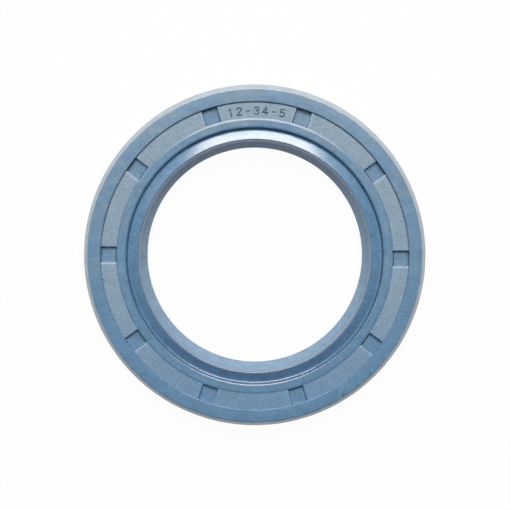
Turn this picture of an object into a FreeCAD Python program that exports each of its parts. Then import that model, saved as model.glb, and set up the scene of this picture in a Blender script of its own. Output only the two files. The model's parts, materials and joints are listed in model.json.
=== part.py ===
import FreeCAD, Part
import math
import os

# Radial shaft seal: a moulded rubber body bonded round an L-section steel case, with a sealing
# lip under a garter spring and a dust lip beside it. The axis of the shaft is Z. The oil side
# ends at z = 0 and the air-side face is at z = width. A depth is measured down from that face.

# Nominal sizes in millimetres
shaft_dia = 35.0
section_height = 8.5
width = 7.0

# Fits, on the diameter
housing_press = 0.30
lip_preload = 1.75
dust_gap = 0.50

# Outer cover: wall over the case, and the chamfers at its two ends
cover_wall = 0.95
oil_chamfer_length = 1.10
oil_chamfer_rise = 0.50
air_chamfer_length = 1.20
air_chamfer_rise = 0.62

# A rounding is laid in flats that stay this near to its arc, which keeps the solids light
round_error = 0.085

# Air-side face: outer rim, recessed band with its pads, slope, inner rim and groove
outer_rim_width = 2.03
rim_ease_width = 0.25
rim_ease_drop = 0.08
pad_drop = 0.28
slope_run = 0.31
inner_rim_width = 1.12
inner_rim_drop = 0.17
inner_rim_round = 0.43
groove_depth = 0.82
groove_draft = 0.19
groove_floor = 0.23

# Windows, where the mould's pins hold the case while the rubber flows round it
window_count = 10
window_turn = -0.8
window_width = 2.50
window_depth = 0.62
window_draft = 0.28
window_end_draft = 0.06

# Dust lip
dust_tip_drop = 0.40
dust_tip_width = 0.10
dust_flank_run = 1.35
dust_lean = 0.25

# Sealing lip
lip_depth = 3.90
lip_land = 0.20
air_angle = 30.0
oil_angle = 45.0
nose_length = 1.75
nose_round = 0.28
lip_wall = 0.88

# Garter spring and its seat in the back of the lip
spring_coil_dia = 1.80
spring_offset = 0.55
spring_clearance = 0.03
seat_hold = 0.60
seat_lead = 0.25

# Heel, where the lip joins the case, and the rubber turned in over the case's free end
neck_wall = 0.60
heel_reach = 1.25
end_cover = 0.80
turn_in = 0.28
turn_in_height = 0.90

# Steel case
case_thickness = 0.90
case_cover = 1.10
case_bend = 0.20

# Radii that follow from the shaft and the housing
shaft_r = shaft_dia / 2
outer_r = shaft_r + section_height + housing_press / 2
lip_r = shaft_r - lip_preload / 2
dust_r = shaft_r + dust_gap / 2

# Radii of the air-side face, from the housing inwards and from the shaft outwards
rim_corner_r = outer_r - air_chamfer_rise
band_outer_r = rim_corner_r - outer_rim_width
flank_r = dust_r + dust_tip_width + dust_flank_run
groove_r = flank_r + groove_floor + groove_draft
inner_rim_r = groove_r + inner_rim_width
band_inner_r = inner_rim_r + slope_run

# Case
case_r = outer_r - cover_wall
case_bore_r = case_r - case_thickness
flange_r = groove_r + neck_wall

# Spring, seated behind the lip's air-side cone
air_slope = math.tan(math.radians(air_angle))
oil_slope = math.tan(math.radians(oil_angle))
coil_r = spring_coil_dia / 2
seat_r = coil_r + spring_clearance
land_top = lip_depth - lip_land / 2
spring_depth = lip_depth - spring_offset
spring_r = lip_r + (land_top - spring_depth) * air_slope + lip_wall + seat_r


def level(depth):
    """Height of a point that lies depth below the air-side face."""
    return width - depth


def flat_turn(radius):
    """Turn between two flats of a rounding, so that each stays within round_error of the arc."""
    return 2 * math.acos(max(0.0, 1 - round_error / radius))


def rounded_corner(before, corner, after, rounding):
    """Points of one corner, which is rounded by flats along a tangent arc.

    The arc is held to less than half of the shorter side beside the corner.
    """
    if rounding == 0:
        return [corner]
    to_before = before - corner
    to_after = after - corner
    reach = 0.48 * min(to_before.Length, to_after.Length)
    to_before.normalize()
    to_after.normalize()
    half = to_before.getAngle(to_after) / 2
    tangent = min(rounding / math.tan(half), reach)
    radius = tangent * math.tan(half)
    turn = math.pi - 2 * half
    flats = max(1, math.ceil(turn / flat_turn(radius)))
    inwards = (to_before + to_after).normalize()
    centre = corner + inwards * (radius / math.sin(half))
    across = (to_after - to_before).normalize()
    angles = [turn * (i / flats - 0.5) for i in range(flats + 1)]
    return [centre + across * (radius * math.sin(a)) - inwards * (radius * math.cos(a)) for a in angles]


def polygon_face(points):
    """Flat face inside a closed ring of points."""
    return Part.Face(Part.makePolygon(points + points[:1]))


def outline(corners):
    """Face in the XZ plane from corners (radius, height, rounding)."""
    sharp = [FreeCAD.Vector(r, 0, z) for r, z, _ in corners]
    points = []
    for i, (_, _, rounding) in enumerate(corners):
        after = sharp[(i + 1) % len(sharp)]
        points += rounded_corner(sharp[i - 1], sharp[i], after, rounding)
    return polygon_face(points)


def coil_section(radius):
    """Round section about the spring's centre line, in as many flats as the coil needs."""
    sides = math.ceil(2 * math.pi / flat_turn(coil_r))
    angles = [2 * math.pi * (i + 0.5) / sides for i in range(sides)]
    height = level(spring_depth)
    return polygon_face([
        FreeCAD.Vector(spring_r + radius * math.cos(a), 0, height + radius * math.sin(a)) for a in angles
    ])


def ring(face):
    """Solid of revolution of a face about the shaft's axis."""
    return face.revolve(FreeCAD.Vector(0, 0, 0), FreeCAD.Vector(0, 0, 1), 360)


def case_section():
    """L-section of the steel case: a leg along the housing and a flange towards the shaft."""
    top = level(case_cover)
    under = level(case_cover + case_thickness)
    return outline([
        (case_bore_r, end_cover, 0),
        (case_r, end_cover, 0),
        (case_r, top, case_bend + case_thickness),
        (flange_r, top, 0),
        (flange_r, under, 0),
        (case_bore_r, under, case_bend),
    ])


def air_face_corners():
    """Air-side face from the outer chamfer to the bottom of the groove by the dust lip."""
    return [
        (outer_r, level(air_chamfer_length), 0),
        (rim_corner_r, level(rim_ease_drop), 0),
        (rim_corner_r - rim_ease_width, level(0), 0),
        (band_outer_r, level(0), 0),
        (band_outer_r, level(pad_drop), 0),
        (band_inner_r, level(pad_drop), 0),
        (inner_rim_r, level(inner_rim_drop), 0),
        (groove_r, level(inner_rim_drop), inner_rim_round),
        (groove_r - groove_draft, level(groove_depth), 0),
        (flank_r, level(groove_depth), 0),
    ]


def dust_lip_corners():
    """Dust lip: tip, and an inner face that leans towards the shaft down to the sealing lip."""
    root_r = dust_r - dust_lean
    return [
        (dust_r + dust_tip_width, level(dust_tip_drop), 0),
        (dust_r, level(dust_tip_drop), 0),
        (root_r, level(land_top - (root_r - lip_r) / air_slope), 0),
    ]


def sealing_lip_corners():
    """Sealing lip: land, oil-side cone, nose, and the wall that holds the spring in its seat."""
    land_end = land_top + lip_land
    nose_depth = lip_depth + nose_length
    return [
        (lip_r, level(land_top), 0),
        (lip_r, level(land_end), 0),
        (lip_r + (nose_depth - land_end) * oil_slope, level(nose_depth), nose_round),
        (spring_r + seat_hold, level(nose_depth), nose_round),
        (spring_r + seat_hold, level(spring_depth + coil_r / 2), 0),
        (spring_r, level(spring_depth - coil_r + seat_lead), 0),
    ]


def heel_corners():
    """Heel on the flange's inner end, then the bare steel channel up to the turned-in end."""
    under = case_cover + case_thickness
    return [
        (flange_r + heel_reach, level(under), 0),
        (case_bore_r, level(under), case_bend),
        (case_bore_r, end_cover + turn_in_height, 0),
        (case_bore_r - turn_in, end_cover + turn_in_height - turn_in, 0),
        (case_bore_r - turn_in, 0, 0),
        (outer_r - oil_chamfer_rise, 0, 0),
        (outer_r, oil_chamfer_length, 0),
    ]


def window(angle):
    """One drafted window between two pads, cut down towards the flange."""
    floor = level(pad_drop + window_depth)
    pad = level(pad_drop)
    band = ring(outline([
        (band_inner_r + window_end_draft, floor, 0),
        (band_outer_r, floor, 0),
        (band_outer_r, pad, 0),
        (band_inner_r, pad, 0),
    ]))
    narrow = window_width / 2 - window_draft
    wide = window_width / 2
    sides = [(-narrow, floor), (narrow, floor), (wide, pad), (-wide, pad)]
    trapezium = polygon_face([FreeCAD.Vector(0, y, z) for y, z in sides])
    bar = trapezium.extrude(FreeCAD.Vector(outer_r, 0, 0))
    bar.rotate(FreeCAD.Vector(0, 0, 0), FreeCAD.Vector(0, 0, 1), angle)
    return band.common(bar)


def metal_case():
    """Pressed steel ring that the rubber is bonded to."""
    return ring(case_section())


def rubber_body():
    """Moulded rubber: cover, air-side face, both lips and the spring's seat, in one piece."""
    corners = air_face_corners() + dust_lip_corners() + sealing_lip_corners() + heel_corners()
    section = outline(corners).cut(case_section()).cut(coil_section(seat_r))
    body = ring(section.Faces[0])
    pitch = 360.0 / window_count
    windows = [window(window_turn + pitch * i) for i in range(window_count)]
    return body.cut(windows)


def garter_spring():
    """Closed ring of the coil's outside diameter, lying in its seat."""
    return ring(coil_section(coil_r))


def main():
    """Write every piece to parts/ under its own name."""
    os.makedirs("parts", exist_ok=True)
    pieces = {
        "rubber_body": rubber_body(),
        "metal_case": metal_case(),
        "garter_spring": garter_spring(),
    }
    for name, shape in pieces.items():
        solid = shape.Solids[0]
        print(name, len(shape.Solids), solid.isValid(), round(solid.Volume, 3), solid.BoundBox)
        solid.exportStep("parts/" + name + ".step")


main()
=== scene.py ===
"""Looks of a radial shaft seal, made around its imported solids.

The seal lies on a pale floor with its air side up, and the camera looks down on it. The moulded
rubber body, the pressed steel case and the garter spring are made here as fine meshes, each in
the place of its plain solid.

Lengths are in millimetres until a mesh, a lamp or the camera is placed. A depth is measured down
from the air-side face, and an angle is turned from +X towards +Y.
"""

import json
import logging
import math
from dataclasses import asdict, dataclass, field
from enum import Enum
from typing import Any, Sequence

import bpy
import numpy as np
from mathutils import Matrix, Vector

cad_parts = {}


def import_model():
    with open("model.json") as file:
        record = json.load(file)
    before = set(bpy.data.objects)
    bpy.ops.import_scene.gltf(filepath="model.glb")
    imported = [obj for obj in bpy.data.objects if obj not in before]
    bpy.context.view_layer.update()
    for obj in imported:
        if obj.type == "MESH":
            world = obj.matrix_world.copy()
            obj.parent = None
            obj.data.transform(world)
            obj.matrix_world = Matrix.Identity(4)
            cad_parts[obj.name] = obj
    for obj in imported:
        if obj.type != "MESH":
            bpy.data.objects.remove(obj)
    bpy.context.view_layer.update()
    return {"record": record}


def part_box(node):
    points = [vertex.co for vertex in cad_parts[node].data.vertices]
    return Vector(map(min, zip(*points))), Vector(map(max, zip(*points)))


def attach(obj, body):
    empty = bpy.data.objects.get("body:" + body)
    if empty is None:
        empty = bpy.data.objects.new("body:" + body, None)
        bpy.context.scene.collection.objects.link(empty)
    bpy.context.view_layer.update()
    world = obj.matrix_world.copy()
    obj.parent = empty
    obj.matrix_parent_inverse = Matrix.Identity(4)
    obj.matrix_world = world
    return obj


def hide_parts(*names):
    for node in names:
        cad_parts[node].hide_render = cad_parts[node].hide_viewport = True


LOG = logging.getLogger("shaft_seal")
MM = 0.001
IMAGE_SIDE = 510

Colour = tuple[float, float, float]


def srgb(red: int, green: int, blue: int) -> Colour:
    """Turn a colour of 0 to 255 on a screen into linear light.

    Args:
        red: Share of red.
        green: Share of green.
        blue: Share of blue.

    Returns:
        The three linear values, from 0 to 1.
    """
    shares = np.array([red, green, blue]) / 255
    light = np.where(shares <= 0.04045, shares / 12.92, ((shares + 0.055) / 1.055) ** 2.4)
    return tuple(float(v) for v in light)


# Shader nodes


class Value:
    """Number or colour that varies over a surface. Arithmetic on it adds Math nodes."""

    def __init__(self, graph: "Graph", node: bpy.types.Node, output: str | int = 0) -> None:
        """Wrap one output of a node.

        Args:
            graph: Tree that the node is in.
            node: The node.
            output: Name or number of the output.
        """
        self.graph = graph
        self.node = node
        self.socket = node.outputs[output]

    def other(self, output: str | int) -> "Value":
        """Another output of the same node."""
        return Value(self.graph, self.node, output)

    def __add__(self, other: "Value | float") -> "Value":
        """Sum, in either order."""
        return self.graph.math("ADD", self, other)

    def __sub__(self, right: "Value | float") -> "Value":
        """Difference."""
        return self.graph.math("SUBTRACT", self, right)

    def __rsub__(self, left: "Value | float") -> "Value":
        """Difference from the number on the left."""
        return self.graph.math("SUBTRACT", left, self)

    def __mul__(self, other: "Value | float") -> "Value":
        """Product, in either order."""
        return self.graph.math("MULTIPLY", self, other)

    __radd__, __rmul__ = __add__, __mul__


class Graph:
    """Node tree of one material or world, and short ways to add to it."""

    def __init__(self, owner: bpy.types.Material | bpy.types.World) -> None:
        """Empty the owner's node tree, to start from nothing.

        Args:
            owner: Material or world whose tree it is.
        """
        owner.use_nodes = True
        self.tree = owner.node_tree
        self.tree.nodes.clear()

    def add(
        self,
        kind: str,
        settings: dict[str, Any] | None = None,
        inputs: dict[str | int, Any] | None = None,
        output: str | int = 0,
    ) -> Value | None:
        """Add a node, set it up, and then fill its sockets.

        Args:
            kind: Type of the node.
            settings: Values of the node's own properties.
            inputs: Value or link of each named or numbered input.
            output: Output that the returned value stands for.

        Returns:
            The chosen output, or nothing for a node that has none.
        """
        node = self.tree.nodes.new(kind)
        for name, setting in (settings or {}).items():
            setattr(node, name, setting)
        for name, value in (inputs or {}).items():
            if isinstance(value, Value):
                self.tree.links.new(value.socket, node.inputs[name])
            else:
                node.inputs[name].default_value = value
        return Value(self, node, output) if node.outputs else None

    def math(self, operation: str, *values: Value | float) -> Value:
        """Math node on one, two or three values."""
        return self.add("ShaderNodeMath", {"operation": operation}, dict(enumerate(values)))

    def vector(self, operation: str, *values: Any, output: str | int = 0) -> Value:
        """Vector Math node on one or two vectors."""
        return self.add("ShaderNodeVectorMath", {"operation": operation}, dict(enumerate(values)), output)

    def rise(self, value: Value, low: float, high: float) -> Value:
        """Smooth step of a value: 0 up to low, 1 from high on."""
        settings = {"interpolation_type": "SMOOTHSTEP"}
        return self.add("ShaderNodeMapRange", settings, {0: value, 1: low, 2: high})

    def band(self, value: Value, low: float, high: float, soft: float) -> Value:
        """Mask that is 1 from low to high and fades out over soft beyond them."""
        return self.rise(value, low - soft, low) * (1.0 - self.rise(value, high, high + soft))

    def mix(self, share: Value | float, first: Any, second: Any) -> Value:
        """Colour that goes from the first to the second as the share goes from 0 to 1."""
        colours = [c if isinstance(c, Value) else (*c, 1.0) for c in (first, second)]
        return self.add("ShaderNodeMix", {"data_type": "RGBA"}, {0: share, 6: colours[0], 7: colours[1]}, 2)

    def shade(self, colour: Value, strength: Value) -> Value:
        """Make a colour lighter or darker.

        Args:
            colour: The colour.
            strength: Factor on each of its three values.

        Returns:
            The shaded colour.
        """
        grey = self.add("ShaderNodeCombineColor", None, {0: strength, 1: strength, 2: strength})
        settings = {"data_type": "RGBA", "blend_type": "MULTIPLY"}
        return self.add("ShaderNodeMix", settings, {0: 1.0, 6: colour, 7: grey}, 2)

    def place(self) -> Value:
        """Place of the shaded point on its piece, in millimetres."""
        inputs = {0: self.add("ShaderNodeTexCoord", output="Object"), "Scale": 1 / MM}
        return self.add("ShaderNodeVectorMath", {"operation": "SCALE"}, inputs)

    def noise(self, place: Value, period: float, detail: float = 2.0, roughness: float = 0.5) -> Value:
        """Noise from 0 to 1 whose largest lumps are about one period across."""
        inputs = {"Vector": place, "Scale": 1 / period, "Detail": detail, "Roughness": roughness}
        return self.add("ShaderNodeTexNoise", None, inputs)

    def finish(self, shader: Value) -> None:
        """Join a shader to the material's output."""
        self.add("ShaderNodeOutputMaterial", None, {"Surface": shader})

    def dress(self, colour: Value, roughness: Value, height: Value, relief: float, **others: float) -> None:
        """Finish a material with one Principled shader.

        Args:
            colour: Base colour.
            roughness: Roughness.
            height: Relief of the surface, as a share.
            relief: Length that a height of 1 stands for, in millimetres.
            others: Numbers for other sockets of the shader.
        """
        bump = self.add("ShaderNodeBump", None, {"Height": height, "Distance": relief * MM, "Strength": 1.0})
        inputs = {"Base Color": colour, "Roughness": roughness, "Normal": bump, **others}
        self.finish(self.add("ShaderNodeBsdfPrincipled", None, inputs))


# Meshes


@dataclass(frozen=True)
class Corner:
    """Corner of a section, with the radius of its rounding and the flats that lay it."""

    radius: float
    depth: float
    rounding: float = 0.0
    flats: int = 0


def unit(vectors: np.ndarray) -> np.ndarray:
    """Scale vectors, one a row, to a length of 1."""
    return vectors / np.maximum(np.linalg.norm(vectors, axis=-1, keepdims=True), 1e-9)


def rounded_path(corners: Sequence[Corner]) -> np.ndarray:
    """Trace an open path whose corners are rounded by tangent arcs.

    The centre of a rounding of radius R lies on the bisector of its two sides, R / sin(half)
    from the corner, where half is half of the angle between them. The point at turn t from the
    bisector is the centre + across * R sin t - inwards * R cos t, and the flats share the whole
    turn evenly.

    Args:
        corners: Corners in order. The first and the last have no rounding.

    Returns:
        Points of the path, (radius, depth) each.
    """
    table = np.array([[c.radius, c.depth, c.rounding, c.flats] for c in corners])
    sharp, rounding, flats = table[:, :2], table[:, 2:3], table[:, 3].astype(int)
    before = unit(np.roll(sharp, 1, axis=0) - sharp)
    after = unit(np.roll(sharp, -1, axis=0) - sharp)
    half = np.arccos(np.clip((before * after).sum(1, keepdims=True), -1, 1)) / 2
    inwards, across = unit(before + after), unit(after - before)
    centre = sharp + inwards * rounding / np.maximum(np.sin(half), 1e-9)
    owner = np.repeat(np.arange(len(sharp)), flats + 1)
    first = np.repeat(np.cumsum(flats + 1) - flats - 1, flats + 1)
    share = (np.arange(len(owner)) - first) / np.maximum(flats, 1)[owner] - 0.5
    turn = share[:, None] * (math.pi - 2 * half[owner])
    return centre[owner] + rounding[owner] * (across[owner] * np.sin(turn) - inwards[owner] * np.cos(turn))


def round_up(radii: np.ndarray, angles: np.ndarray, heights: np.ndarray) -> np.ndarray:
    """Place grid points at (radius cos angle, radius sin angle, height)."""
    grid = np.broadcast_arrays(radii * np.cos(angles), radii * np.sin(angles), heights)
    return np.stack(grid, axis=-1)


def grid_faces(rows: int, columns: int, start: int = 0, closed: bool = False) -> np.ndarray:
    """Join a grid of points, whose columns close in a ring, into four-cornered faces.

    Args:
        rows: Rows of the grid.
        columns: Columns of the grid.
        start: Number of the grid's first point.
        closed: Whether the last row joins the first.

    Returns:
        Four point numbers for each face.
    """
    row, column = np.meshgrid(np.arange(rows if closed else rows - 1), np.arange(columns), indexing="ij")
    next_row, next_column = (row + 1) % rows, (column + 1) % columns
    corners = [(row, column), (row, next_column), (next_row, next_column), (next_row, column)]
    return np.stack([start + r * columns + c for r, c in corners], axis=-1).reshape(-1, 4)


def fan_faces(coarse: np.ndarray, fine: np.ndarray) -> np.ndarray:
    """Join a ring to one with a whole number of times as many points.

    The first half of the fine points between two coarse ones fan out from the first coarse
    point and the rest from the second, with one triangle between the two fans. A triangle
    repeats its last point.

    Args:
        coarse: Point numbers of the ring with fewer points.
        fine: Point numbers of the ring with more, which follows it in the same direction.

    Returns:
        Four point numbers for each face.
    """
    ratio = len(fine) // len(coarse)
    step = np.arange(len(fine)) % ratio
    left, right = np.repeat(coarse, ratio), np.repeat(np.roll(coarse, -1), ratio)
    middle = ratio // 2
    hub = np.where(step <= middle, left, right)
    fans = np.stack([hub, np.roll(fine, -1), fine, fine], axis=-1)
    tips = fine[middle + 1 :: ratio]
    bridges = np.stack([coarse, np.roll(coarse, -1), tips, tips], axis=-1)
    return np.concatenate([fans, bridges])


def linked(name: str, data: bpy.types.ID) -> bpy.types.Object:
    """Make an object of some data, linked to the scene.

    Args:
        name: Name of the object.
        data: Its mesh, light or camera.

    Returns:
        The new object.
    """
    piece = bpy.data.objects.new(name, data)
    bpy.context.scene.collection.objects.link(piece)
    return piece


def mesh_piece(name: str, points: np.ndarray, faces: np.ndarray) -> bpy.types.Object:
    """Write a mesh whose normals are weighted by area.

    The normal at a point is the sum of the area vectors of its faces, where half the cross
    product of a face's diagonals is its area vector. Large flats so stay flat up to their
    narrow roundings.

    Args:
        name: Name of the piece.
        points: Points in millimetres, three numbers each.
        faces: Four point numbers for each face. A triangle repeats its last one.

    Returns:
        The new object, linked to the scene.
    """
    corner = points[faces]
    area = np.cross(corner[:, 2] - corner[:, 0], corner[:, 3] - corner[:, 1]) / 2
    normals = np.zeros_like(points)
    np.add.at(normals, faces[:, :3], area[:, None])
    np.add.at(normals, faces[:, 3], area * (faces[:, 3] != faces[:, 2])[:, None])
    triangle = faces[:, 2] == faces[:, 3]
    mesh = bpy.data.meshes.new(name)
    mesh.from_pydata((points * MM).tolist(), [], faces[~triangle].tolist() + faces[triangle, :3].tolist())
    mesh.polygons.foreach_set("use_smooth", np.ones(len(mesh.polygons), bool))
    mesh.normals_split_custom_set_from_vertices(unit(normals).tolist())
    mesh.update()
    return linked(name, mesh)


def eased(value: np.ndarray, foot: float, head: float) -> np.ndarray:
    """Rise from 0 to 1 as the value does, with a parabola at both corners.

    A ramp eased at its foot is (v + ease)^2 / (4 ease) within ease of 0, and v above that. The
    rise is that ramp less the same ramp begun at 1.

    Args:
        value: Values to rise with.
        foot: Half width of the parabola at 0.
        head: Half width of the parabola at 1.

    Returns:
        The risen values.
    """

    def ramp(v: np.ndarray, ease: float) -> np.ndarray:
        """Ramp that is eased at its foot."""
        return np.clip(v + ease, 0, 2 * ease) ** 2 / (4 * ease) + np.maximum(v - ease, 0)

    return ramp(value, foot) - ramp(value - 1, head)


# Sizes


@dataclass(frozen=True)
class SealSizes:
    """Driving sizes of the seal's section, with the radii and depths that follow from them.

    A drop is a depth below the outer rim, a run is a radial width, and a chamfer's rise is how
    far it cuts in. The seat's mouth is the angle at which the spring's seat meets the heel.
    """

    outer_r: float
    width: float
    lip_r: float
    dust_r: float = 17.75
    cover_wall: float = 0.95
    oil_chamfer_length: float = 1.10
    oil_chamfer_rise: float = 0.50
    air_chamfer_length: float = 1.20
    air_chamfer_rise: float = 0.62
    rim_ease_width: float = 0.16
    rim_ease_drop: float = 0.085
    rim_crown_drop: float = 0.04
    rim_crown_run: float = 1.05
    outer_rim_width: float = 2.03
    pad_drop: float = 0.28
    slope_run: float = 0.31
    inner_rim_width: float = 1.09
    inner_rim_drop: float = 0.17
    groove_edge_run: float = 0.20
    groove_edge_drop: float = 0.07
    groove_depth: float = 0.84
    groove_draft: float = 0.12
    groove_floor: float = 0.39
    dust_tip_drop: float = 0.40
    dust_tip_width: float = 0.16
    dust_tip_bevel: float = 0.08
    dust_flank_run: float = 1.25
    dust_flank_crown: float = 0.008
    dust_lean: float = 0.25
    lip_depth: float = 3.90
    lip_land: float = 0.20
    air_angle: float = 30.0
    nose_length: float = 1.75
    lip_wall: float = 0.88
    coil_dia: float = 1.80
    spring_offset: float = 0.55
    spring_clearance: float = 0.03
    seat_hold: float = 0.60
    seat_mouth: float = 54.2
    neck_wall: float = 0.60
    heel_reach: float = 1.25
    end_cover: float = 0.80
    turn_in: float = 0.28
    turn_in_height: float = 0.90
    case_thickness: float = 0.90
    case_cover: float = 1.10
    case_bend: float = 0.20

    @classmethod
    def of_frame(cls, record: dict[str, Any]) -> "SealSizes":
        """Read the overall sizes and the lip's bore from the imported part.

        Args:
            record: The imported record.

        Returns:
            The sizes of that seal.
        """
        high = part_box("rubber_body")[1] / MM
        bore = next(m for m in record["mounts"] if m["name"] == "shaft_bore")
        return cls(outer_r=min(high.x, high.y), width=high.z, lip_r=bore["dims"]["r_mm"])

    @property
    def rim_corner_r(self) -> float:
        """Outer edge of the air-side face."""
        return self.outer_r - self.air_chamfer_rise

    @property
    def band_outer_r(self) -> float:
        """Inner edge of the outer rim."""
        return self.rim_corner_r - self.outer_rim_width

    @property
    def flank_r(self) -> float:
        """Foot of the dust lip's flank."""
        return self.dust_r + self.dust_tip_width + self.dust_flank_run

    @property
    def groove_r(self) -> float:
        """Inner edge of the inner rim."""
        return self.flank_r + self.groove_floor + self.groove_draft

    @property
    def inner_rim_r(self) -> float:
        """Outer edge of the inner rim."""
        return self.groove_r + self.inner_rim_width

    @property
    def band_inner_r(self) -> float:
        """Inner edge of the pads."""
        return self.inner_rim_r + self.slope_run

    @property
    def case_r(self) -> float:
        """Outside of the steel case."""
        return self.outer_r - self.cover_wall

    @property
    def case_bore_r(self) -> float:
        """Inside of the steel case's leg."""
        return self.case_r - self.case_thickness

    @property
    def flange_r(self) -> float:
        """Inner end of the steel case's flange."""
        return self.groove_r + self.neck_wall

    @property
    def flange_under(self) -> float:
        """Depth of the flange's underside."""
        return self.case_cover + self.case_thickness

    @property
    def case_end(self) -> float:
        """Depth of the free end of the steel case's leg."""
        return self.width - self.end_cover

    @property
    def land_top(self) -> float:
        """Depth at which the sealing lip's land begins."""
        return self.lip_depth - self.lip_land / 2

    @property
    def nose_depth(self) -> float:
        """Depth of the sealing lip's nose."""
        return self.lip_depth + self.nose_length

    @property
    def air_slope(self) -> float:
        """Rise of the lip's air-side cone away from the shaft, for each millimetre along it."""
        return math.tan(math.radians(self.air_angle))

    @property
    def seat_r(self) -> float:
        """Radius of the spring's seat."""
        return self.coil_dia / 2 + self.spring_clearance

    @property
    def spring_depth(self) -> float:
        """Depth of the spring's centre line."""
        return self.lip_depth - self.spring_offset

    @property
    def spring_r(self) -> float:
        """Radius of the spring's centre line."""
        behind_lip = (self.land_top - self.spring_depth) * self.air_slope
        return self.lip_r + behind_lip + self.lip_wall + self.seat_r


# Marking


Stroke = list[tuple[float, float]]


def bowed(x: float, y: float, across: float, up: float, start: float, end: float) -> Stroke:
    """Stretch of an ellipse: (x + across cos a, y + up sin a) as a goes from start to end.

    Args:
        x: Middle of the ellipse, across the line of figures.
        y: Middle of the ellipse, up the figure.
        across: Half width.
        up: Half height.
        start: First angle, in degrees.
        end: Last angle, in degrees.

    Returns:
        Points of the stretch.
    """
    angles = np.radians(np.linspace(start, end, 11))
    return list(zip(x + across * np.cos(angles), y + up * np.sin(angles)))


class Figure(Enum):
    """Strokes of a plain figure, one figure high, about its middle."""

    ONE = [[(-0.17, 0.28), (0.06, 0.5), (0.06, -0.5)]]
    TWO = [bowed(0, 0.22, 0.29, 0.28, 170, -40) + [(-0.31, -0.5), (0.32, -0.5)]]
    THREE = [bowed(0, 0.25, 0.26, 0.25, 155, -90), bowed(0, -0.22, 0.30, 0.28, 90, -155)]
    FOUR = [[(0.14, -0.5), (0.14, 0.5), (-0.34, -0.2), (0.34, -0.2)]]
    FIVE = [[(0.28, 0.5), (-0.23, 0.5), (-0.28, 0.05)] + bowed(0, -0.18, 0.31, 0.32, 140, -150)]
    DASH = [[(-0.19, 0), (0.19, 0)]]


@dataclass(frozen=True)
class Marking:
    """Row of plain figures pressed into one pad, each upright on its own radius."""

    figures: tuple[Figure, ...] = (
        Figure.ONE, Figure.TWO, Figure.DASH, Figure.THREE, Figure.FOUR, Figure.DASH, Figure.FIVE
    )
    middle: float = 89.35
    pitch: float = 3.42
    radius: float = 22.10
    height: float = 1.11
    stroke: float = 0.14
    depth: float = 0.17
    flat_share: float = 0.22
    slope_share: float = 0.42
    ease: float = 0.4

    def rows(self) -> np.ndarray:
        """Radii of the mesh's rows across the figures, which reach a little past them."""
        return np.linspace(self.radius + 0.72, self.radius - 0.70, 29)

    def sink(self, radii: np.ndarray, angles: np.ndarray) -> np.ndarray:
        """How far the figures press points of the pad down.

        The depth is full along the middle of a stroke and eases out to nothing at its edge.

        Args:
            radii: Radius of each point.
            angles: Angle of each point, in radians.

        Returns:
            Extra depth of each point.
        """
        nearest = np.full(np.broadcast(radii, angles).shape, np.inf)
        for place, figure in enumerate(self.figures):
            turn = self.middle - self.pitch * (place - (len(self.figures) - 1) / 2)
            aside = math.radians(turn) - angles
            x = radii * np.sin(aside) / self.height
            y = (radii * np.cos(aside) - self.radius) / self.height
            for stroke in figure.value:
                nearest = np.minimum(nearest, self.distance(x, y, np.array(stroke)) * self.height)
        away = (nearest / self.stroke - self.flat_share) / self.slope_share
        return self.depth * (1 - eased(away, self.ease, self.ease))

    @staticmethod
    def distance(x: np.ndarray, y: np.ndarray, stroke: np.ndarray) -> np.ndarray:
        """Least distance from points to a stroke.

        The nearest point of a straight piece from A to B is A + t (B - A), where t is the
        share of the way along it, held between 0 and 1.

        Args:
            x: Points across the line of figures.
            y: Points up the figure.
            stroke: Points of the stroke, in order.

        Returns:
            The distance of each point.
        """
        start, along = stroke[:-1], np.diff(stroke, axis=0)
        offset = np.stack([x, y], axis=-1)[..., None, :] - start
        share = np.clip((offset * along).sum(-1) / (along**2).sum(-1), 0, 1)
        return np.linalg.norm(offset - share[..., None] * along, axis=-1).min(-1)


# Rubber


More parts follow.
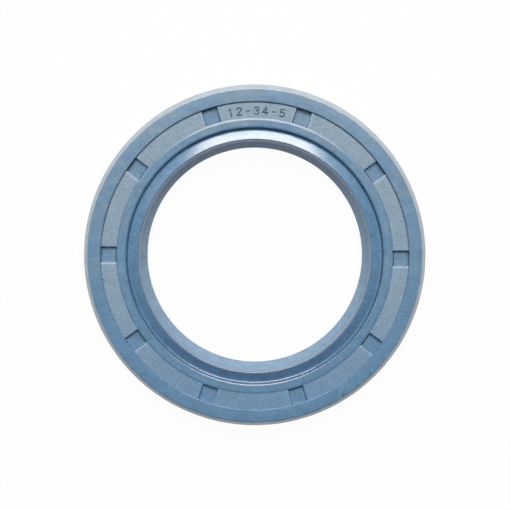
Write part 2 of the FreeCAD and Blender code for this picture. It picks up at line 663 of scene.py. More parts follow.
@dataclass(frozen=True)
class Windows:
    """Ring of drafted windows between the pads, left by the pins that hold the case.

    The two eases are the rounding at a wall's edge and at its foot, as shares of the wall's
    draft. The columns are those of the mesh across a pad and across the marked pad.
    """

    count: int = 10
    turn: float = -0.8
    width: float = 2.36
    depth: float = 0.62
    draft: float = 0.05
    end_draft: float = 0.03
    ease: float = 1.4
    foot_ease: float = 0.8
    pad_columns: int = 55
    marked_columns: int = 244
    marked_pad: int = 2

    @property
    def edge(self) -> float:
        """Half width of a window, with the rounding of its edge."""
        return self.width / 2 + self.ease * self.draft

    def wall_steps(self) -> np.ndarray:
        """Shares of a wall's draft at which the mesh has a line, from the pad to the floor."""
        bend = np.array([-1, -1 / 3, 1 / 3, 1])
        return np.sort(np.concatenate([self.ease * bend, 1 + self.foot_ease * bend]))

    def columns(self) -> tuple[np.ndarray, np.ndarray, np.ndarray]:
        """Lay out the columns, from the first edge of each window round to the next window.

        Returns:
            Angle of the window that each column belongs to, its offset from the window's
            middle line, and the share of the pad behind the window at which it lies.
        """
        wall = self.width / 2 - self.wall_steps() * self.draft
        floor = np.array([-0.33, 0.33]) * wall[-1]
        across = np.concatenate([-wall, floor, wall[:0:-1]])
        turns, offsets, shares = [], [], []
        for place in range(self.count):
            pads = self.marked_columns if place == self.marked_pad else self.pad_columns
            turns.append(np.full(len(across) + pads, math.radians(self.turn + 360 * place / self.count)))
            offsets.append(np.concatenate([across, np.full(pads, self.edge)]))
            shares.append(np.concatenate([np.zeros(len(across)), np.arange(pads) / pads]))
        return np.concatenate(turns), np.concatenate(offsets), np.concatenate(shares)

    def pad_turn(self, radii: np.ndarray) -> np.ndarray:
        """Turn between the two windows beside a pad, in radians, one row for each radius."""
        return 2 * math.pi / self.count - 2 * np.arcsin(self.edge / radii[:, None])

    def angles(self, radii: np.ndarray) -> np.ndarray:
        """Angle of each column, turned by asin(offset / r) off its window and then over the pad."""
        turn, offset, share = self.columns()
        return turn + np.arcsin(offset / radii[:, None]) + share * self.pad_turn(radii)

    def margins(self, radii: np.ndarray) -> np.ndarray:
        """Distance of each point from the nearest window's edge, and nothing inside a window."""
        _, _, share = self.columns()
        return np.minimum(share, 1 - share) * (share > 0) * self.pad_turn(radii) * radii[:, None]

    def sink(self, radii: np.ndarray, band_inner_r: float) -> np.ndarray:
        """Extra depth of the windows: eased along both sides, and towards the inner rim.

        Args:
            radii: Radii, one for each row.
            band_inner_r: Radius at which the windows end.

        Returns:
            Depths below the pads, one row for each radius.
        """
        _, offset, share = self.columns()
        across = (self.width / 2 - np.abs(offset)) / self.draft
        along = (radii[:, None] - band_inner_r) / self.end_draft
        side = eased(across, self.ease, self.foot_ease) * (share == 0)
        return self.depth * side * eased(along - self.ease, self.ease, self.foot_ease)


@dataclass(frozen=True)
class Fleck:
    """Speck of dust, nick or smudge on the air-side face, which fades out over its radius."""

    x: float
    y: float
    radius: float
    gain: float

    def mask(self, graph: Graph, flat: Value) -> Value:
        """Mask that is 1 at the fleck's middle and 0 from its radius on."""
        away = graph.vector("DISTANCE", flat, (self.x, self.y, 0.0), output="Value")
        return 1.0 - graph.rise(away, 0.25 * self.radius, self.radius)


NICKS = (
    Fleck(-23.10, -3.52, 0.17, -0.75),
    Fleck(-23.00, -3.78, 0.13, -0.75),
    Fleck(13.5, -21.3, 0.34, -0.35),
    Fleck(6.8, 17.3, 0.20, -0.22),
)
SPECKS = (
    Fleck(18.0, -17.4, 0.22, 0.50),
    Fleck(15.8, -17.9, 0.20, 0.40),
    Fleck(23.1, 6.9, 0.22, 0.40),
    Fleck(-13.4, 12.7, 0.22, 0.40),
    Fleck(-17.0, -16.1, 0.22, 0.45),
    Fleck(-16.3, -10.2, 0.20, 0.35),
    Fleck(17.1, -8.5, 0.20, 0.40),
    Fleck(5.75, -17.4, 0.22, 0.35),
)
SMUDGES = (
    Fleck(2.6, 23.8, 0.9, -0.09),
    Fleck(4.9, 24.6, 0.9, -0.10),
    Fleck(6.6, 24.2, 0.8, -0.08),
    Fleck(0.2, 24.9, 1.0, -0.08),
    Fleck(-3.4, 24.7, 0.9, -0.07),
    Fleck(-6.2, -23.9, 0.9, 0.06),
    Fleck(9.5, -22.9, 0.8, -0.06),
)


@dataclass(frozen=True)
class ZoneTones:
    """How much the mask of the same name lightens the rubber, or darkens it below 0: mostly painted light,
    shade and shadow.
    """

    # Pad margins beside the windows: lighter, partly a painted highlight of the windows' lit edges.
    pad_margin_and_highlight: float = 0.14
    # Painted shade in the strokes of the pressed figures.
    pressed: float = -0.60
    # Painted light: the slope below the inner rim is lighter except near the top of the face.
    slope: float = 0.12
    # Painted shade in the crease at the slope's foot, except near the top of the face.
    slope_foot_shade: float = -0.28
    # Painted shade on the window floors against their inner end walls.
    window_nook_shade: float = -0.60
    # Painted shade on the groove's outer wall, strongest towards the top of the face.
    groove_wall_shade: float = -0.40
    # Painted shade on the dust lip's tip, all round.
    shaded_lip_tip: float = -0.16
    # Painted shade along the rim's outer corner, towards the bottom of the face.
    rim_corner_shade: float = -0.30
    # Painted shadow of the outer rim on the pads, towards the top of the face.
    rim_foot_shadow: float = -0.45


@dataclass(frozen=True)
class ZoneRoughness:
    """How much the shader's mask of the same name roughens the rubber, or smooths it below 0."""

    rough: float = 0.14
    lips: float = -0.17
    bore: float = 0.16
    shaded_lip_tip: float = 0.16
    rim_brow: float = -0.12


@dataclass(frozen=True)
class RubberFinish:
    """Moulded nitrile rubber: smooth on the rims and lips, blasted on the pads.

    Some colours go from a first to a second one towards the top of the face: the smooth rubber to
    lighter, greyer patches, the blasted pads to a painted sheen of the lamps' light, and the lips
    out of painted shade on their lower part. A period is the width of a noise's largest lumps, and
    a gain is how much of a noise the tone takes on.
    """

    smooth: Colour = srgb(83, 120, 156)
    # Lighter, greyer colour of patches on the smooth rubber.
    grey_patch: Colour = srgb(114, 132, 146)
    blasted: Colour = srgb(87, 122, 159)
    # Pads' colour at the top of the face, with a painted sheen of the light that falls from the top.
    painted_pad_sheen: Colour = srgb(110, 135, 160)
    # Lips' colour at the bottom of the face: painted shade.
    painted_lip_shade: Colour = srgb(70, 103, 141)
    lip: Colour = srgb(84, 121, 157)
    bore: Colour = srgb(116, 146, 177)
    cover: Colour = srgb(166, 177, 190)
    grey_patch_share: float = 0.62
    cover_share: float = 0.75
    roughness: float = 0.32
    flow_roughness: float = 0.08
    index: float = 1.62
    relief: float = 0.035
    smooth_relief_share: float = 0.03
    grain_period: float = 0.27
    blotch_period: float = 1.1
    flow_period: float = 1.2
    smear_period: float = 1.9
    mottle_period: float = 2.2
    ring_turns: float = 38.0
    even_tone: float = 0.80
    mottle_gain: float = 0.28
    blotch_gain: float = 0.12
    smooth_blotch_gain: float = 0.26
    grain_gain: float = 1.4
    tones: ZoneTones = field(default_factory=ZoneTones)
    roughnesses: ZoneRoughness = field(default_factory=ZoneRoughness)
    flecks: tuple[Fleck, ...] = (*NICKS, *SPECKS, *SMUDGES)


class RubberShader:
    """Material of the rubber, with a mask from 0 to 1 for each zone of its section."""

    def __init__(self, finish: RubberFinish, sizes: SealSizes) -> None:
        """Start the material and lay out the masks.

        Args:
            finish: Colours and surface of the rubber.
            sizes: Sizes of the seal, which place the zones.
        """
        self.finish, self.sizes = finish, sizes
        self.material = bpy.data.materials.new("moulded_rubber")
        self.graph = Graph(self.material)
        self.place = self.graph.place()
        parts = self.graph.add("ShaderNodeSeparateXYZ", None, {0: self.place})
        self.y, self.depth = parts.other(1), sizes.width - parts.other(2)
        self.flat = self.graph.add("ShaderNodeCombineXYZ", None, {0: parts, 1: self.y})
        self.radius = self.graph.vector("LENGTH", self.flat, output="Value")
        self.grain = self.graph.noise(self.place, finish.grain_period, 3.0, 0.70)
        self.mottle = self.graph.noise(self.place, finish.mottle_period, 4.0, 0.60)
        self.lay_pads()
        self.lay_lips()
        self.lay_edges()

    def ring(self, low: float, high: float, soft: float) -> Value:
        """Mask of a ring between two radii, which fades out over soft beyond them."""
        return self.graph.band(self.radius, low, high, soft)

    def outside(self, low: float, high: float) -> Value:
        """Mask that rises from the lower to the higher radius."""
        return self.graph.rise(self.radius, low, high)

    def deeper(self, low: float, high: float) -> Value:
        """Mask that rises from the lower to the higher depth."""
        return self.graph.rise(self.depth, low, high)

    def upwards(self, low: float, high: float) -> Value:
        """Mask that rises towards the top of the picture, from one y to the other."""
        return self.graph.rise(self.y, low, high)

    def lay_pads(self) -> None:
        """Pads, their smoother margins beside the windows with a partly painted highlight, and the pressed
        figures with painted shade.
        """
        s = self.sizes
        level = self.graph.band(self.depth, s.pad_drop - 0.05, s.pad_drop + 0.16, 0.12)
        self.pad = level * self.ring(s.band_inner_r, s.band_outer_r - 0.03, 0.02)
        margin = self.graph.add("ShaderNodeAttribute", {"attribute_name": "margin"}, None, "Fac")
        # Smoother pad margins, whose lightening is partly a painted highlight of the windows' edges.
        self.pad_margin_and_highlight = self.pad * (1.0 - self.graph.rise(margin, 0.05, 0.5))
        self.rough = self.pad * (1.0 - 0.5 * self.pad_margin_and_highlight)
        # Painted shade in the strokes of the pressed figures.
        marked = self.graph.rise(self.graph.math("DIVIDE", self.y, self.radius), 0.970, 0.976)
        self.pressed = marked * self.pad * self.deeper(s.pad_drop + 0.02, s.pad_drop + 0.12)

    def lay_lips(self) -> None:
        """Bore, dust lip with its flank and tip, and the groove's outer wall towards the top, with painted
        shade on the tip and the wall.
        """
        s = self.sizes
        self.air_side = 1.0 - self.deeper(s.groove_depth + 0.05, s.groove_depth + 0.3)
        self.bore = 1.0 - self.outside(s.dust_r - 0.10, s.dust_r - 0.01)
        self.lips = self.air_side * (1.0 - self.outside(s.groove_r + 0.12, s.groove_r + 0.35))
        # Dust lip's tip, which carries painted shade and a rougher finish.
        self.shaded_lip_tip = self.air_side * self.ring(s.dust_r - 0.01, s.dust_r + s.dust_tip_width, 0.03)
        # Painted shade on the groove's outer wall, towards the top of the face.
        wall = self.air_side * self.ring(s.groove_r - 0.26, s.groove_r + 0.02, 0.06)
        wall = wall * self.deeper(s.inner_rim_drop + 0.1, s.groove_depth - 0.1)
        self.groove_wall_shade = wall * self.upwards(-19.0, -2.0)

    def lay_edges(self) -> None:
        """Outer cover, and the narrow edges and corners, with painted light, shade and shadow on them."""
        s = self.sizes
        # Top side of the face, where the rims cast their shadows inwards.
        lee = self.upwards(-3.0, 8.0)
        self.cover = self.outside(s.rim_corner_r - 0.12, s.rim_corner_r + 0.05)
        # Painted shade along the rim's outer corner, fading out towards the top.
        rim_corner_ring = self.ring(s.rim_corner_r - 0.16, s.rim_corner_r + 0.02, 0.05)
        self.rim_corner_shade = rim_corner_ring * (1.0 - self.upwards(-26.0, -4.0))
        self.rim_brow = self.ring(s.band_outer_r - 0.02, s.band_outer_r + 0.14, 0.05)
        # Painted shadow at the foot of the outer rim's wall.
        foot = self.ring(s.band_outer_r - 0.12, s.band_outer_r, 0.04)
        self.rim_foot_shadow = foot * lee * self.deeper(0.08, 0.22)
        # Painted light on the slope, except near the top of the face.
        self.slope = self.ring(s.inner_rim_r + 0.02, s.band_inner_r - 0.02, 0.03) * (1.0 - lee)
        # Painted shade in the crease at the slope's foot.
        crease = self.ring(s.band_inner_r - 0.07, s.band_inner_r + 0.02, 0.04)
        self.slope_foot_shade = crease * (1.0 - self.upwards(5.0, 18.0))
        # Painted shade on the window floors against their inner end walls.
        nook = self.ring(s.band_inner_r - 0.1, s.band_inner_r + 0.20, 0.06)
        self.window_nook_shade = nook * self.deeper(s.pad_drop + 0.2, s.pad_drop + 0.5)

    def weigh(self, value: Value, gains: ZoneTones | ZoneRoughness) -> Value:
        """Add masks to a value, each of them times the gain of the same name.

        Args:
            value: The value to start from.
            gains: Gain of each mask.

        Returns:
            The sum.
        """
        for name, gain in asdict(gains).items():
            value = value + gain * getattr(self, name)
        return value

    def colour(self) -> Value:
        """Lay the zones' own colours over each other.

        Returns:
            Colour of the rubber before its tone, with painted sheen on the upper pads and painted shade on
            the lower lips.
        """
        mix, finish = self.graph.mix, self.finish
        stretched = self.graph.vector("MULTIPLY", self.place, (0.55, 1.0, 1.0))
        smear = self.graph.noise(stretched, finish.smear_period, 4.0, 0.65)
        # Lighter, greyer patches, more of them towards the top of the face.
        grey_patches = self.graph.rise(smear, 0.42, 0.70) * self.upwards(-20.0, 16.0)
        colour = mix(finish.grey_patch_share * grey_patches, finish.smooth, finish.grey_patch)
        colour = mix(finish.cover_share * self.cover, colour, finish.cover)
        # Painted sheen: the pads lighten towards the top of the face.
        colour = mix(self.pad, colour, mix(self.upwards(-26.0, -2.0), finish.blasted, finish.painted_pad_sheen))
        # Painted shade: the lips darken towards the bottom of the face.
        colour = mix(self.lips, colour, mix(self.upwards(-19.0, 1.0), finish.painted_lip_shade, finish.lip))
        return mix(self.bore, colour, finish.bore)

    def tone(self) -> Value:
        """Mottle the colour, mark the flecks, and paint light and shade on the edges, corners, groove and
        figures.

        Returns:
            Factor on the colour.
        """
        finish = self.finish
        blotch = self.graph.noise(self.place, finish.blotch_period, 3.0, 0.6)
        smooth, grained = 1.0 - self.rough - 0.7 * self.cover, 0.75 + 0.25 * self.rough - 0.50 * self.cover
        tone = finish.even_tone + finish.mottle_gain * self.mottle + finish.blotch_gain * blotch
        tone = tone + finish.smooth_blotch_gain * smooth * (blotch - 0.5)
        tone = self.weigh(tone + finish.grain_gain * grained * (self.grain - 0.5), finish.tones)
        for fleck in finish.flecks:
            tone = tone + fleck.gain * self.air_side * fleck.mask(self.graph, self.flat)
        return tone

    def build(self) -> bpy.types.Material:
        """Join the colour, the roughness and the relief to the material's shader.

        Returns:
            The rubber's material.
        """
        finish = self.finish
        streaked = self.graph.vector("MULTIPLY", self.place, (0.35, 0.35, 1.0))
        flow = self.graph.noise(streaked, finish.flow_period)
        rings = self.graph.math("SINE", self.radius * finish.ring_turns) * flow
        smooth_height = finish.smooth_relief_share * (self.mottle + (1.0 - self.rough) * rings)
        height = self.rough * self.grain + smooth_height
        roughness = self.weigh(finish.roughness + finish.flow_roughness * flow, finish.roughnesses)
        colour = self.graph.shade(self.colour(), self.tone())
        self.graph.dress(colour, roughness, height, finish.relief, IOR=finish.index)
        return self.material


@dataclass
class RubberBody:
    """Moulded rubber of the seal, as one closed mesh around its section.

    A fine stretch of rings crosses the recessed band and reaches a little past it on both rims.
    The rest has one column for every few of the fine ones, and fans close the gap between the
    two stretches.
    """

    sizes: SealSizes
    windows: Windows = field(default_factory=Windows)
    marking: Marking = field(default_factory=Marking)
    finish: RubberFinish = field(default_factory=RubberFinish)
    ratio: int = 3
    fine_outside: float = 0.20
    fine_inside: float = 0.12
    rest_outside: float = 0.30
    rest_inside: float = 0.20
    ring_gap: float = 0.30
    foot_round: float = 0.04
    no_window: float = 9.0

    def band_path(self) -> np.ndarray:
        """Fine stretch of the section: across the recessed band, from the outer rim inwards.

        Returns:
            Points (radius, depth) of the stretch, on a pad.
        """
        s = self.sizes
        outer = rounded_path([
            Corner(s.band_outer_r + self.fine_outside, 0),
            Corner(s.band_outer_r, 0, 0.13, 5),
            Corner(s.band_outer_r, s.pad_drop, self.foot_round, 2),
            Corner(s.band_outer_r - self.ring_gap, s.pad_drop),
        ])
        steps = self.windows.ease + self.windows.wall_steps()[::-1]
        wall = s.band_inner_r + steps * self.windows.end_draft
        inner = rounded_path([
            Corner(s.band_inner_r + self.ring_gap, s.pad_drop),
            Corner(s.band_inner_r, s.pad_drop, 0.1, 2),
            Corner(s.inner_rim_r, s.inner_rim_drop, 0.3, 3),
            Corner(s.inner_rim_r - self.fine_inside, s.inner_rim_drop),
        ])
        radii = np.concatenate([[s.band_outer_r - 2 * self.ring_gap], self.marking.rows(), wall])
        radii = np.sort(radii)[::-1]
        pads = np.stack([radii, np.full(len(radii), s.pad_drop)], axis=-1)
        return np.concatenate([outer, pads, inner[1:]])

    def dust_lip_corners(self) -> list[Corner]:
        """Inner rim, groove and dust lip, down to the root between the two lips.

        The flank is crowned: its middle stands dust_flank_crown above the straight line, as on
        an arc of radius length^2 / (8 crown). The rounding is 0.8 of that, to keep off the ends.

        Returns:
            Corners in order, from the inner rim.
        """
        s = self.sizes
        tip_r = s.dust_r + s.dust_tip_width
        drop = s.groove_depth - s.dust_tip_drop
        length = math.hypot(s.dust_flank_run, drop)
        bulge = 2 * s.dust_flank_crown / length
        crown_r = (s.flank_r + tip_r) / 2 + bulge * drop
        crown_depth = (s.groove_depth + s.dust_tip_drop) / 2 - bulge * s.dust_flank_run
        crown_round = 0.8 * length**2 / (8 * s.dust_flank_crown)
        root_r = s.dust_r - s.dust_lean
        return [
            Corner(s.inner_rim_r - self.rest_inside, s.inner_rim_drop),
            Corner(s.groove_r + s.groove_edge_run, s.inner_rim_drop, 0.4, 4),
            Corner(s.groove_r - 0.02, s.inner_rim_drop + s.groove_edge_drop, 0.08, 4),
            Corner(s.groove_r - s.groove_draft, s.groove_depth, 0.34, 8),
            Corner(s.flank_r, s.groove_depth, 0.09, 3),
            Corner(crown_r, crown_depth, crown_round, 8),
            Corner(tip_r, s.dust_tip_drop, 0.06, 3),
            Corner(s.dust_r, s.dust_tip_drop + s.dust_tip_bevel, 0.04, 3),
            Corner(root_r, s.land_top - (root_r - s.lip_r) / s.air_slope, 0.3, 4),
        ]

    def sealing_lip_corners(self) -> list[Corner]:
        """Sealing lip from its land to the back of its nose, with an oil-side cone of 45 degrees.

        Returns:
            Corners in order, from the land.
        """
        s = self.sizes
        land_end = s.land_top + s.lip_land
        return [
            Corner(s.lip_r, s.land_top, 0.05, 2),
            Corner(s.lip_r, land_end, 0.05, 2),
            Corner(s.lip_r + s.nose_depth - land_end, s.nose_depth, 0.3, 5),
            Corner(s.spring_r + s.seat_hold, s.nose_depth, 0.3, 5),
        ]

    def seat_path(self) -> np.ndarray:
        """Spring's seat: (spring_r + R cos a, spring_depth - R sin a) round the lip's side.

        Returns:
            Points (radius, depth), from the nose to the heel.
        """
        s = self.sizes
        start, end = -math.acos(s.seat_hold / s.seat_r), math.radians(s.seat_mouth) - 2 * math.pi
        angles = np.linspace(start, end, 15)
        radii = s.spring_r + s.seat_r * np.cos(angles)
        return np.stack([radii, s.spring_depth - s.seat_r * np.sin(angles)], axis=-1)

    def shell_corners(self) -> list[Corner]:
        """Heel, the rubber's faces on the case, the turned-in end and the outer cover.

        Returns:
            Corners in order, from the heel to the outer rim.
        """
        s = self.sizes
        heel_r = s.flange_r + s.heel_reach
        turned_r = s.case_bore_r - s.turn_in
        turned_top = s.case_end - s.turn_in_height
        return [
            Corner(heel_r, s.flange_under),
            Corner(s.flange_r, s.flange_under),
            Corner(s.flange_r, s.case_cover),
            Corner(s.case_r, s.case_cover, s.case_bend + s.case_thickness, 5),
            Corner(s.case_r, s.case_end),
            Corner(s.case_bore_r, s.case_end),
            Corner(s.case_bore_r, turned_top),
            Corner(turned_r, turned_top + s.turn_in, 0.08, 2),
            Corner(turned_r, s.width, 0.1, 3),
            Corner(s.outer_r - s.oil_chamfer_rise, s.width, 0.15, 3),
            Corner(s.outer_r, s.width - s.oil_chamfer_length, 0.3, 3),
            Corner(s.outer_r, s.air_chamfer_length, 0.2, 3),
            Corner(s.rim_corner_r, s.rim_ease_drop, 0.10, 3),
            Corner(s.rim_corner_r - s.rim_ease_width, s.rim_crown_drop, 0.2, 3),
            Corner(s.rim_corner_r - s.rim_crown_run, 0, 15.0, 5),
            Corner(s.band_outer_r + self.rest_outside, 0),
        ]

    def rest_path(self) -> np.ndarray:
        """Rest of the section, from the inner rim by way of both lips and the cover.

        Returns:
            Points (radius, depth), which end on the outer rim.
        """
        seat = self.seat_path()
        foot, mouth = Corner(*seat[0]), Corner(*seat[-1])
        lips = rounded_path([*self.dust_lip_corners(), *self.sealing_lip_corners(), foot])
        shell = rounded_path([mouth, *self.shell_corners()])
        return np.concatenate([lips[:-1], seat, shell[1:]])

    def build(self) -> bpy.types.Object:
        """Make the mesh: fine columns on the recessed band, and fewer on the rest.

        A point at angle a stands at (r cos a, r sin a, width - depth - sink), where only the
        band's points are sunk, by the windows and the figures.

        Returns:
            The rubber body, in the place of its solid.
        """
        s = self.sizes
        band, rest = self.band_path(), self.rest_path()
        fine_angles = self.windows.angles(band[:, 0])
        sunk = (band[:, 1] >= s.pad_drop - self.foot_round - 0.001)[:, None]
        sink = self.windows.sink(band[:, 0], s.band_inner_r) * sunk
        sink = sink + self.marking.sink(band[:, :1], fine_angles) * sunk
        fine = round_up(band[:, :1], fine_angles, s.width - band[:, 1:] - sink)

        lean = np.linspace(0, 1, len(rest))[:, None]
        angles = (1 - lean) * fine_angles[-1, :: self.ratio] + lean * fine_angles[0, :: self.ratio]
        coarse = round_up(rest[:, :1], angles, s.width - rest[:, 1:])

        start = fine[..., 0].size
        numbers = np.arange(start + coarse[..., 0].size)
        fine_numbers = numbers[:start].reshape(fine.shape[:2])
        coarse_numbers = numbers[start:].reshape(coarse.shape[:2])
        faces = np.concatenate([
            grid_faces(*fine.shape[:2]),
            grid_faces(*coarse.shape[:2], start),
            fan_faces(coarse_numbers[-1], fine_numbers[0]),
            fan_faces(coarse_numbers[0], fine_numbers[-1])[:, [0, 2, 1, 1]],
        ])
        points = np.concatenate([fine.reshape(-1, 3), coarse.reshape(-1, 3)])
        piece = mesh_piece("rubber_body_detail", points, faces)
        margins = np.full(len(points), self.no_window)
        margins[:start] = self.windows.margins(band[:, 0]).ravel()
        piece.data.attributes.new("margin", "FLOAT", "POINT").data.foreach_set("value", margins)
        piece.data.materials.append(RubberShader(self.finish, s).build())
        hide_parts("rubber_body")
        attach(piece, "root")
        return piece


# Steel


@dataclass(frozen=True)
class SteelFinish:
    """Steel with fine marks of its making."""

    name: str
    light: Colour
    dark: Colour
    roughness: float
    mark_period: float
    relief: float = 0.006

    def material(self) -> bpy.types.Material:
        """Mottle the steel's colour and roughness, with fine marks in its relief.

        Returns:
            The steel's material.
        """
        material = bpy.data.materials.new(self.name)
        graph = Graph(material)
        place = graph.place()
        marks = graph.noise(place, self.mark_period, 3.0, 0.6)
        patches = graph.rise(graph.noise(place, 3.0, 4.0, 0.6), 0.35, 0.68)
        colour = graph.mix(patches, self.light, self.dark)
        roughness = self.roughness + 0.12 * patches + 0.08 * (marks - 0.5)
        graph.dress(colour, roughness, marks, self.relief, Metallic=1.0)
        return material


@dataclass
class SteelCase:
    """Pressed L-section ring inside the rubber, bare in the channel on the oil side."""

    sizes: SealSizes
    columns: int = 240
    finish: SteelFinish = SteelFinish(
        "case_steel", light=srgb(132, 132, 130), dark=srgb(96, 97, 98), roughness=0.42, mark_period=0.35
    )

    def build(self) -> bpy.types.Object:
        """Turn the rounded L-section about the axis, at (r cos a, r sin a, width - depth).

        Returns:
            The case, in the place of its solid.
        """
        s = self.sizes
        path = rounded_path([
            Corner(s.case_bore_r, s.case_end, 0.06, 2),
            Corner(s.case_r, s.case_end, 0.06, 2),
            Corner(s.case_r, s.case_cover, s.case_bend + s.case_thickness, 7),
            Corner(s.flange_r, s.case_cover, 0.06, 2),
            Corner(s.flange_r, s.flange_under, 0.06, 2),
            Corner(s.case_bore_r, s.flange_under, s.case_bend, 5),
        ])
        angles = np.linspace(0, 2 * math.pi, self.columns, endpoint=False)[None]
        points = round_up(path[:, :1], angles, s.width - path[:, 1:])
        faces = grid_faces(*points.shape[:2], closed=True)
        piece = mesh_piece("metal_case_detail", points.reshape(-1, 3), faces)
        piece.data.materials.append(self.finish.material())
        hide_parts("metal_case")
        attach(piece, "root")
        return piece


@dataclass
class GarterSpring:
    """Close-wound coil spring, bent into a ring and joined end to end."""

    sizes: SealSizes
    wire_dia: float = 0.40
    turns: int = 285
    steps: int = 20
    sides: int = 8
    finish: SteelFinish = SteelFinish(
        "spring_steel", light=srgb(205, 204, 200), dark=srgb(150, 150, 148), roughness=0.24, mark_period=0.12
    )

    def build(self) -> bpy.types.Object:
        """Carry the wire's round section along the coil.

        At share t of the ring the coil stands at ring angle f = 2 pi t and has turned by
        c = 2 pi turns t. Its line is a helix of radius a about the ring, with its outward
        direction n = cos c * radial + sin c * up. The wire's section is cos b * n + sin b * m,
        where m is square to both n and the line.

        Returns:
            The spring, in the place of its plain ring.
        """
        s = self.sizes
        t = np.linspace(0, 1, self.turns * self.steps, endpoint=False)[:, None]
        ring, coil = 2 * math.pi * t, 2 * math.pi * self.turns * t
        zero = np.zeros_like(t)
        radial = np.concatenate([np.cos(ring), np.sin(ring), zero], axis=1)
        around = np.concatenate([-np.sin(ring), np.cos(ring), zero], axis=1)
        up = np.array([[0.0, 0.0, 1.0]])
        helix_r = (s.coil_dia - self.wire_dia) / 2
        outward = np.cos(coil) * radial + np.sin(coil) * up
        middle = s.spring_r * radial + helix_r * outward + (s.width - s.spring_depth) * up
        reach = s.spring_r + helix_r * np.cos(coil)
        line = unit(reach * around + self.turns * helix_r * (np.cos(coil) * up - np.sin(coil) * radial))
        aside = np.cross(line, outward)
        b = np.linspace(0, 2 * math.pi, self.sides, endpoint=False)[None, :, None]
        section = np.cos(b) * outward[:, None] + np.sin(b) * aside[:, None]
        points = middle[:, None] + self.wire_dia / 2 * section
        faces = grid_faces(*points.shape[:2], closed=True)
        piece = mesh_piece("garter_spring_coil", points.reshape(-1, 3), faces)
        piece.data.materials.append(self.finish.material())
        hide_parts("garter_spring")
        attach(piece, "root")
        return piece


# Studio


@dataclass(frozen=True)
class Lamp:
    """Rectangular soft lamp that faces the seal.

    It stands on the side of its azimuth, in degrees from +X, and at an angle above the floor,
    in degrees. Its distance, width and height are in metres. Its glow is the radiance of its
    face, where 1 is that of a white surface in full light.
    """

    name: str
    azimuth: float
    elevation: float
    away: float
    size: tuple[float, float]
    glow: float
    tint: Colour

    def hang(self) -> None:
        """Place the lamp at away * (cos a cos e, sin a cos e, sin e), turned to the seal."""
        light = bpy.data.lights.new(self.name, "AREA")
        light.shape = "RECTANGLE"
        light.size, light.size_y = self.size
        light.energy = self.glow * math.pi * self.size[0] * self.size[1]
        light.color = self.tint
        lamp = linked(self.name, light)
        side, up = math.radians(self.azimuth), math.radians(self.elevation)
        toward = Vector((math.cos(side) * math.cos(up), math.sin(side) * math.cos(up), math.sin(up)))
        lamp.location = toward * self.away
        lamp.rotation_mode = "QUATERNION"
        lamp.rotation_quaternion = toward.to_track_quat("Z", "Y")


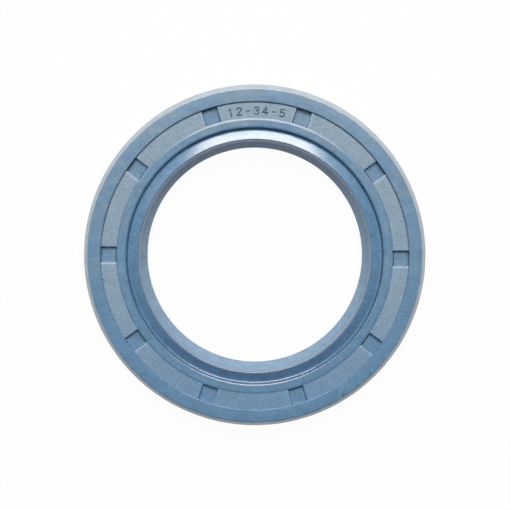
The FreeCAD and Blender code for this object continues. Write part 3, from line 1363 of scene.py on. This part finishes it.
@dataclass
class Studio:
    """Pale floor, soft lamps and the camera above the seal."""

    sizes: SealSizes
    pixels_per_mm: float = 6.57
    camera_height: float = 200.0
    camera_tilt: float = 3.7
    aim_x: float = 0.035
    aim_y: float = 0.272
    floor_side: float = 4.0
    lamps: tuple[Lamp, ...] = (
        Lamp(
            "key_softbox", azimuth=89.2, elevation=55, away=1.00, size=(0.76, 0.40),
            glow=13.8, tint=(1.0, 0.94, 0.84),
        ),
        Lamp(
            "wide_panel", azimuth=98, elevation=71, away=1.40, size=(2.00, 0.66),
            glow=1.5, tint=(1.0, 0.96, 0.86),
        ),
    )

    def paper(self) -> bpy.types.Material:
        """Matt paper, which the camera sees as all but white, and glossy rays as bright.

        Returns:
            The floor's material.
        """
        material = bpy.data.materials.new("pale_floor")
        graph = Graph(material)
        matt = graph.add("ShaderNodeBsdfDiffuse", None, {"Color": (0.60, 0.60, 0.61, 1)})
        white = graph.add("ShaderNodeEmission", None, {"Color": (1, 1, 1, 1), "Strength": 1.0})
        bright = graph.add("ShaderNodeEmission", None, {"Color": (1, 1, 1, 1), "Strength": 1.2})
        rays = graph.add("ShaderNodeLightPath")
        seen = graph.math("MAXIMUM", rays.other("Is Camera Ray"), rays.other("Is Transmission Ray"))
        shown = graph.add("ShaderNodeMixShader", None, {0: 0.97 * seen, 1: matt, 2: white})
        mirrored = {0: rays.other("Is Glossy Ray"), 1: shown, 2: bright}
        graph.finish(graph.add("ShaderNodeMixShader", None, mirrored))
        return material

    def floor(self) -> bpy.types.Object:
        """Lay a square of paper under the seal.

        Returns:
            The floor.
        """
        half = self.floor_side / 2
        corners = [(-half, -half, 0), (half, -half, 0), (half, half, 0), (-half, half, 0)]
        mesh = bpy.data.meshes.new("floor")
        mesh.from_pydata(corners, [], [(0, 1, 2, 3)])
        mesh.materials.append(self.paper())
        floor = linked("floor", mesh)
        return floor

    def light(self) -> None:
        """Hang the lamps and set the dim room around them, which the camera sees as white."""
        for lamp in self.lamps:
            lamp.hang()
        world = bpy.data.worlds.new("room")
        graph = Graph(world)
        room = graph.add("ShaderNodeBackground", None, {"Color": (0.94, 0.97, 1, 1), "Strength": 0.12})
        white = graph.add("ShaderNodeBackground", None, {"Color": (1, 1, 1, 1), "Strength": 1.0})
        seen = graph.add("ShaderNodeLightPath", output="Is Camera Ray")
        shown = graph.add("ShaderNodeMixShader", None, {0: seen, 1: room, 2: white})
        graph.add("ShaderNodeOutputWorld", None, {"Surface": shown})
        bpy.context.scene.world = world

    def camera(self) -> bpy.types.Object:
        """Stand the camera above the seal, a little towards the top of the picture.

        Its lens gives the measured scale at the air-side face.

        Returns:
            The camera.
        """
        data = bpy.data.cameras.new("camera")
        data.sensor_width = 36.0
        data.lens = data.sensor_width * self.pixels_per_mm * self.camera_height / IMAGE_SIDE
        data.clip_start, data.clip_end = 0.01, 20.0
        camera = linked("camera", data)
        tilt = math.radians(self.camera_tilt)
        back = Vector((0.0, math.sin(tilt), math.cos(tilt)))
        aim = Vector((self.aim_x, self.aim_y, self.sizes.width))
        camera.location = (aim + back * self.camera_height) * MM
        camera.rotation_euler = (-tilt, 0.0, 0.0)
        bpy.context.scene.camera = camera
        return camera


def main() -> None:
    """Build the seal's pieces in order, and light them."""
    logging.basicConfig(level=logging.INFO, format="%(name)s: %(message)s")
    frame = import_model()
    sizes = SealSizes.of_frame(frame["record"])
    for maker in (RubberBody(sizes), SteelCase(sizes), GarterSpring(sizes)):
        piece = maker.build()
        LOG.info("%s: %d faces", piece.name, len(piece.data.polygons))
    studio = Studio(sizes)
    studio.floor()
    studio.light()
    studio.camera()
    bpy.context.scene.view_settings.view_transform = "Standard"


if __name__ == "__main__":
    main()
